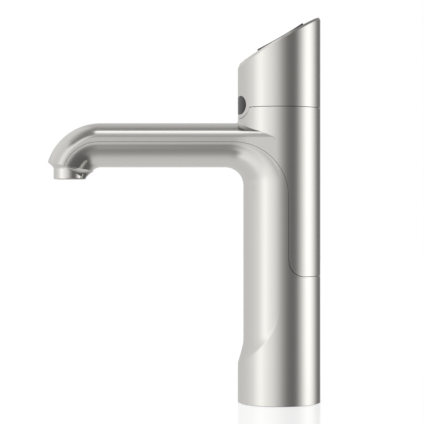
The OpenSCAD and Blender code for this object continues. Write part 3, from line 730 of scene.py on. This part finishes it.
def fascia():
    bpy.ops.mesh.primitive_cylinder_add(
        vertices=240, radius=BODY_R - 2.35 * MM, depth=90 * MM, location=(0, 0, FACE_Z))
    piece = settle(named("fascia"))
    normal = (-math.sin(FACE_TILT), 0, math.cos(FACE_TILT))
    for w, outer in ((FASCIA_TOP, True), (FASCIA_LOW, False)):
        in_edit(piece, lambda co: True)
        bpy.ops.mesh.select_all(action="SELECT")
        bpy.ops.mesh.bisect(plane_co=on_face(0, 0, w), plane_no=normal, clear_outer=outer,
                            clear_inner=not outer, use_fill=True)
        done()
    # opening for both large buttons, and one for the lock
    points = []
    grown = 0.35 * MM
    lo, hi, r = BUTTON_LO - grown, BUTTON_HI + grown, BUTTON_R + grown
    for u in span(hi, lo, 48):
        points.append((u, math.sqrt(r ** 2 - (u * math.cos(FACE_TILT)) ** 2)))
    points += [(u, -v) for u, v in reversed(points)]
    points.append(points[0])
    opening = loft("opening", [
        [on_face(0.5 * MM, 0, -5 * MM) for _ in points], [on_face(u, v, -5 * MM) for u, v in points],
        [on_face(u, v, 3 * MM) for u, v in points], [on_face(0.5 * MM, 0, 3 * MM) for _ in points]])
    joined("opening", opening)
    cut(piece, opening)
    bpy.ops.mesh.primitive_cylinder_add(vertices=96, radius=LOCK_R + grown, depth=8 * MM)
    hole = named("hole")
    for vertex in hole.data.vertices:
        x, y, z = vertex.co
        vertex.co = on_face(LOCK_U + x, y, -1 * MM + z)
    cut(piece, hole)
    soften(piece, 0.18 * MM, 40)
    shade(piece, 30)
    modify(piece, "WEIGHTED_NORMAL", weight=100, keep_sharp=True)
    return piece


def window_lens():
    """The smoked window: a curved pill with a rounded edge, level with the tab that frames it."""
    radius = SKIN_R - 0.05 * MM
    half_w, half_h = WINDOW_HALF_W - 0.3 * MM, WINDOW_HALF_H - 0.3 * MM
    straight = half_w - half_h
    outline = []                         # middle of the end's arc, and the direction from it
    for side in (1, -1):
        outline += [(side * straight, side * math.cos(a), side * math.sin(a))
                    for a in span(-math.pi / 2, math.pi / 2, 40)]
        outline += [(side * y, 0.0, side) for y in span(straight, -straight, 24)[1:-1]]
    outline.append(outline[0])

    def ring(draw_in, depth, shrink=1.0):
        points = []
        for middle, across, up in outline:
            y = (middle + (half_h - draw_in) * across) * shrink
            z = (half_h - draw_in) * up * shrink
            points.append((-math.sqrt((radius - depth) ** 2 - y * y), y, WINDOW_Z + z))
        return points

    edge = 0.5 * MM
    stations = [ring(0, 3 * MM, 0.0), ring(0, 3 * MM)]
    for a in span(0, math.pi / 2, 5):
        stations.append(ring(edge * (1 - math.cos(a)), edge * (1 - math.sin(a))))
    for f in span(1, 0, 10)[1:]:
        stations.append(ring(edge, 0, f))
    piece = joined("window_lens", loft("window_lens", stations))
    shade(piece, 35)
    return piece


# ---------------------------------------------------------------- finishes
class Value:
    """A socket of a shader's nodes that takes part in Python arithmetic."""

    def __init__(self, finish, socket):
        self.finish, self.socket = finish, socket

    def math(self, operation, *others, swapped=False):
        values = [self, *others]
        if swapped:
            values.reverse()
        return self.finish.add("Math", dict(operation=operation), *values)

    def __add__(self, other):
        return self.math("ADD", other)

    __radd__ = __add__

    def __sub__(self, other):
        return self.math("SUBTRACT", other)

    def __rsub__(self, other):
        return self.math("SUBTRACT", other, swapped=True)

    def __mul__(self, other):
        return self.math("MULTIPLY", other)

    __rmul__ = __mul__

    def __truediv__(self, other):
        return self.math("DIVIDE", other)

    def __pow__(self, other):
        return self.math("POWER", other)

    def clamp(self):
        return self.finish.add("Clamp", {}, self, 0.0, 1.0)


class Finish:
    """A material or world under construction."""

    def __init__(self, owner):
        owner.use_nodes = True
        self.owner, self.tree = owner, owner.node_tree
        self.tree.nodes.clear()

    def add(self, kind, settings, *inputs, out=0, **named_inputs):
        """A node of a kind, with its settings first and then the values or links of its sockets."""
        node = self.tree.nodes.new("ShaderNode" + kind)
        for key, value in settings.items():
            if key == "stops":
                ramp = node.color_ramp
                while len(ramp.elements) > 1:
                    ramp.elements.remove(ramp.elements[-1])
                for k, (place, grey) in enumerate(value):
                    stop = ramp.elements[0] if k == 0 else ramp.elements.new(place)
                    stop.position = place
                    stop.color = (grey, grey, grey, 1)
            else:
                setattr(node, key, value)
        slots = [s for s in node.inputs if s.enabled]
        for slot, value in [*zip(slots, inputs), *((node.inputs[k], v) for k, v in named_inputs.items())]:
            if isinstance(value, Value):
                self.tree.links.new(value.socket, slot)
            elif slot.type == "RGBA" and len(value) == 3:
                slot.default_value = (*value, 1)
            else:
                slot.default_value = value
        outputs = [s for s in node.outputs if s.enabled]
        if not outputs:
            return None
        return Value(self, outputs[out] if isinstance(out, int) else node.outputs[out])

    def output(self, surface, kind="OutputMaterial"):
        self.add(kind, {}, Surface=surface)
        return self.owner

    def place(self, scale=(1, 1, 1)):
        where = self.add("TexCoord", {}, out="Object")
        return self.add("Mapping", {}, where, Scale=scale)

    def noise(self, scale, detail=3.0, roughness=0.5, stretch=(1, 1, 1)):
        return self.add("TexNoise", {}, self.place(stretch), Scale=scale, Detail=detail, Roughness=roughness)

    def mix(self, factor, a, b):
        return self.add("Mix", dict(data_type="RGBA"), factor, a, b)

    def bump(self, height, strength, distance):
        return self.add("Bump", {}, Strength=strength, Distance=distance, Height=height, out="Normal")


def principled(finish, colour, roughness, normal=None, **constants):
    inputs = {"Base Color": colour, "Roughness": roughness}
    if normal is not None:
        inputs["Normal"] = normal
    inputs.update({key.replace("_", " "): value for key, value in constants.items()})
    return finish.output(finish.add("BsdfPrincipled", {}, **inputs, out="BSDF"))


ROUND_LINES = (60.0, 60.0, 5200.0)       # brushed round the column


def brushed_nickel(name, polish=0.17):
    """Satin nickel: fine brush lines, a little haze, slightly uneven polish."""
    finish = Finish(bpy.data.materials.new(name))
    brush = finish.noise(1.0, 2.0, 0.6, ROUND_LINES)
    haze = finish.noise(55.0, 3.0, 0.55)
    grain = finish.noise(2600.0, 2.0, 0.5)
    tone = (brush - 0.5) * 0.10 + (haze - 0.5) * 0.05 + 0.5
    colour = finish.mix(tone.clamp(), (0.605, 0.593, 0.563), (0.705, 0.693, 0.663))
    rough = (brush - 0.5) * 0.05 + (haze - 0.5) * 0.04 + polish
    normal = finish.bump(brush * 0.7 + grain * 0.3, 0.05, 0.02 * MM)
    return principled(finish, colour, rough, normal, Metallic=1.0)


def gloss_plastic(name, tint=(0.012, 0.012, 0.013), rough=0.06):
    finish = Finish(bpy.data.materials.new(name))
    haze = finish.noise(90.0, 3.0, 0.6)
    swirl = finish.noise(900.0, 2.0, 0.5)
    colour = finish.mix((haze - 0.2).clamp(), tint, tuple(c * 1.5 + 0.002 for c in tint))
    normal = finish.bump(swirl, 0.03, 0.01 * MM)
    return principled(finish, colour, haze * 0.06 + rough, normal,
                      IOR=1.5, Coat_Weight=0.3, Coat_Roughness=0.04)


def smoked(name):
    """Smoked plastic: mirrors a little of the room, somewhat more where it turns away."""
    finish = Finish(bpy.data.materials.new(name))
    haze = finish.noise(90.0, 3.0, 0.6)
    body = finish.mix(haze.clamp(), (0.014, 0.014, 0.015), (0.022, 0.022, 0.024))
    dull = {"Base Color": body, "Roughness": 0.5, "Specular IOR Level": 0.0}
    dark = finish.add("BsdfPrincipled", {}, **dull, out="BSDF")
    mirror = finish.add("BsdfAnisotropic", {}, Color=(0.9, 0.9, 0.92), Roughness=haze * 0.05 + 0.10)
    turned = finish.add("LayerWeight", {}, Blend=0.5, out="Facing")
    return finish.output(finish.add("MixShader", {}, turned ** 2.5 * 0.42 + 0.02, dark, mirror))


def plain(name, colour, rough, grain=900.0, metal=0.0, strength=0.15):
    """Moulded plastic, rubber or turned metal: a fine grain in colour, polish and surface."""
    finish = Finish(bpy.data.materials.new(name))
    fine = finish.noise(grain, 3.0, 0.55)
    broad = finish.noise(40.0, 2.0, 0.5)
    tone = (fine * 0.5 + broad * 0.5).clamp()
    dark, light = tuple(c * 0.86 for c in colour), tuple(min(c * 1.12 + 0.003, 1) for c in colour)
    normal = finish.bump(fine, strength, 0.03 * MM)
    mixed = finish.mix(tone, dark, light)
    return principled(finish, mixed, (fine - 0.5) * 0.12 + rough, normal, Metallic=metal)


# ---------------------------------------------------------------- make the pieces
PIECES = (
    (lower_casting, "tap", "nickel_casting", ("front_casting",), lambda: brushed_nickel("nickel_round")),
    (upper_shell, "tap", "nickel_shell", ("rear_shell",), lambda: bpy.data.materials["nickel_round"]),
    (head_casing, "tap", "nickel_head", ("head_housing",), lambda: bpy.data.materials["nickel_round"]),
    (outlet_nozzle, "tap", "nickel_nozzle", ("nozzle",), lambda: brushed_nickel("nickel_nozzle", 0.07)),
    (fascia, "tap", "fascia", ("control_fascia",), lambda: gloss_plastic("black_gloss")),
    (window_lens, "tap", "lens", ("indicator_lens",), lambda: smoked("smoked_window")),
    (lambda: large_button("boiling_cap", -1), "boiling_press", "button_gloss", ("boiling_button",),
     lambda: bpy.data.materials["black_gloss"]),
    (lambda: large_button("chilled_cap", 1), "chilled_press", "button_gloss", ("chilled_button",),
     lambda: bpy.data.materials["black_gloss"]),
    (lock_cap, "lock_press", "lock_gloss", ("lock_button",),
     lambda: gloss_plastic("red_gloss", (0.32, 0.02, 0.015), 0.12)),
)
for make, body, slot, nodes, finish in PIECES:
    piece = make()
    piece.data.materials.clear()
    piece.data.materials.append(finish())
    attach(piece, body)
    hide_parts(*nodes)

# finishes of the carried-over nodes, by their slot
NODE_FINISHES = {
    "seal_rubber": plain("black_rubber", (0.02, 0.02, 0.02), 0.7, 1400),
    "circuit_board": plain("board_green", (0.02, 0.12, 0.05), 0.4, 700),
    "lamp_plastic": plain("white_plastic", (0.75, 0.75, 0.72), 0.4),
    "guide_plastic": plain("milky_plastic", (0.7, 0.7, 0.68), 0.25),
    "switch_plastic": plain("switch_black", (0.05, 0.05, 0.05), 0.5),
    "ring_plastic": plain("ring_black", (0.08, 0.08, 0.08), 0.55),
    "carrier_plastic": plain("carrier_grey", (0.09, 0.09, 0.1), 0.5),
    "insert_plastic": plain("insert_white", (0.62, 0.62, 0.6), 0.45),
    "socket_plastic": plain("socket_black", (0.03, 0.03, 0.03), 0.5),
    "sleeve_rubber": plain("foam_grey", (0.06, 0.06, 0.06), 0.9, 2500, 0.0, 0.5),
    "lead_rubber": plain("lead_black", (0.025, 0.025, 0.025), 0.6),
    "screw_steel": plain("screw_steel", (0.5, 0.5, 0.51), 0.3, 1800, 1.0, 0.08),
    "spring_steel": plain("spring_wire", (0.55, 0.55, 0.55), 0.25, 1800, 1.0, 0.05),
    "tube_steel": plain("tube_steel", (0.62, 0.62, 0.62), 0.28, 1200, 1.0, 0.06),
    "brass_parts": plain("turned_brass", (0.66, 0.48, 0.22), 0.3, 1500, 1.0, 0.08),
}
for part in frame["record"]["subparts"]:
    finish = NODE_FINISHES.get(part["material_slot"])
    node = frame["nodes"][part["node"]]
    objects = node if isinstance(node, (list, tuple)) else [node]
    for item in objects:
        if finish and item.data.materials:
            for k in range(len(item.data.materials)):
                item.data.materials[k] = finish
        elif finish:
            item.data.materials.append(finish)


# ---------------------------------------------------------------- stage
def floor():
    """A white surface with a faint sheen, for the camera; the tap itself mirrors the room instead."""
    bpy.ops.mesh.primitive_plane_add(size=6)
    piece = named("floor")
    finish = Finish(bpy.data.materials.new("floor_white"))
    white = finish.add("Emission", {}, Color=(1.0, 1.0, 1.0), Strength=1.2)
    pale = {"Base Color": (0.85, 0.85, 0.85), "Roughness": 0.12}
    sheen = finish.add("BsdfPrincipled", {}, **pale, out="BSDF")
    seen = finish.add("MixShader", {}, 0.4, white, sheen)
    camera = finish.add("LightPath", {}, out="Is Camera Ray")
    finish.output(finish.add("MixShader", {}, camera, finish.add("BsdfTransparent", {}), seen))
    piece.data.materials.append(finish.owner)


def studio():
    """The room as the polished sides see it: soft boxes and dark flags at level height, a second ring of
    them below, a quieter one above, and a box overhead. To the camera the room is white, and so it is to
    mirrors and glass straight behind the tap."""
    world = bpy.data.worlds.new("studio")
    bpy.context.scene.world = world
    finish = Finish(world)
    view = finish.add("TexCoord", {}, out="Generated")
    x, y, z = (finish.add("SeparateXYZ", {}, view, out=axis) for axis in "XYZ")

    def ring(*stops):
        """Brightness round the upright axis: 0 the camera's side, 90 the tap's back, -90 the spout's end."""
        turn = x.math("ARCTAN2", y * -1.0) * (0.5 / math.pi) + 0.5
        return finish.add("ValToRGB", dict(stops=[(0.5 + angle / 360, grey) for angle, grey in stops]), turn)

    def arch(*stops, down=False):
        """Brightness over the top or, if down, round below: 0 the camera's side, 180 behind the tap."""
        height = z * -1.0 if down else z
        turn = height.math("ARCTAN2", y * -1.0) * (1 / math.pi)
        return finish.add("ValToRGB", dict(stops=[(angle / 180, grey) for angle, grey in stops]), turn)

    def rise(value, low, high):
        return finish.add("MapRange", dict(interpolation_type="SMOOTHSTEP"), value, low, high, 0.0, 1.0)

    def near(value, middle, half, soft):
        """1 within half of the middle, fading to 0 over soft."""
        return 1.0 - rise((value - middle).math("ABSOLUTE"), half, half + soft)

    level = ring(
        (-180, 0.60), (-150, 0.72), (-105, 0.86), (-80, 1.02), (-66, 1.30), (-54, 1.46), (-42, 1.28),
        (-18, 1.00), (-3, 0.72), (10, 0.42), (22, 0.23), (36, 0.18), (47, 0.27), (60, 0.76), (72, 1.33),
        (82, 1.66), (93, 1.60), (104, 1.27), (116, 0.72), (130, 0.27), (145, 0.20), (180, 0.60))
    below = ring(
        (-180, 0.72), (-100, 0.80), (-84, 0.86), (-66, 1.10), (-50, 1.10), (-28, 0.98), (-16, 0.74),
        (-3, 0.40), (10, 0.24), (30, 0.17), (60, 0.14), (100, 0.14), (140, 0.16), (154, 0.28),
        (166, 0.60), (180, 0.72))
    above = ring(
        (-180, 0.58), (-162, 0.80), (-138, 0.88), (-112, 0.84), (-90, 0.90), (-78, 1.02), (-62, 1.10),
        (-42, 1.10), (-30, 1.02), (-18, 0.78), (-6, 0.56), (6, 0.46), (18, 0.28), (60, 0.32),
        (110, 0.30), (150, 0.36), (165, 0.50), (180, 0.58))
    over = arch(
        (20, 0.50), (40, 0.57), (57, 0.74), (73, 1.13), (86, 1.50), (112, 1.50), (119, 0.80),
        (124, 0.31), (130, 0.28), (135, 0.50), (142, 0.58), (152, 0.63), (180, 0.62))
    under = arch(
        (30, 0.40), (52, 0.34), (66, 0.38), (78, 0.46), (91, 0.59), (100, 0.70), (110, 0.74),
        (140, 0.80), (155, 0.62), (180, 0.62), down=True)
    light = finish.mix(rise(z, -0.30, -0.12), below, level)
    light = finish.mix(rise(z * -1.0, 0.55, 0.85) * near(x, 0.0, 0.2, 0.3), light, under)
    light = finish.mix(rise(z, 0.12, 0.28), light, above)
    light = finish.mix(rise(z, 0.62, 0.80), light, (0.30, 0.30, 0.30))
    light = finish.mix(rise(z, 0.20, 0.45) * near(x, 0.0, 0.13, 0.13), light, over)
    behind = rise(y, 0.9, 0.95) * near(x, 0.0, 0.17, 0.06) * near(z, 0.04, 0.12, 0.06)
    rays = ("Is Camera Ray", "Is Glossy Ray", "Is Transmission Ray")
    camera, glossy, through = (finish.add("LightPath", {}, out=ray) for ray in rays)
    colour = finish.mix((camera + (glossy + through) * behind).clamp(), light, (1.0, 1.0, 1.0))
    finish.output(finish.add("Background", {}, Color=colour, Strength=1.0), "OutputWorld")


def camera():
    """Level, square to the tap's side, at the photograph's distance."""
    far, across, eye_z = 1167 * MM, -48.7 * MM, 142.4 * MM
    pixels, pixel = 424, 0.7264 * MM     # size of a pixel at the tap's middle plane
    data = bpy.data.cameras.new("camera")
    data.sensor_width = 36.0
    data.lens = data.sensor_width * far / (pixels * pixel)
    data.shift_y = -6 / pixels
    item = bpy.data.objects.new("camera", data)
    bpy.context.scene.collection.objects.link(item)
    item.location = (across, -far, eye_z)
    item.rotation_euler = (math.pi / 2, 0, 0)
    bpy.context.scene.camera = item


floor()
studio()
camera()
bpy.context.scene.view_settings.view_transform = "Standard"
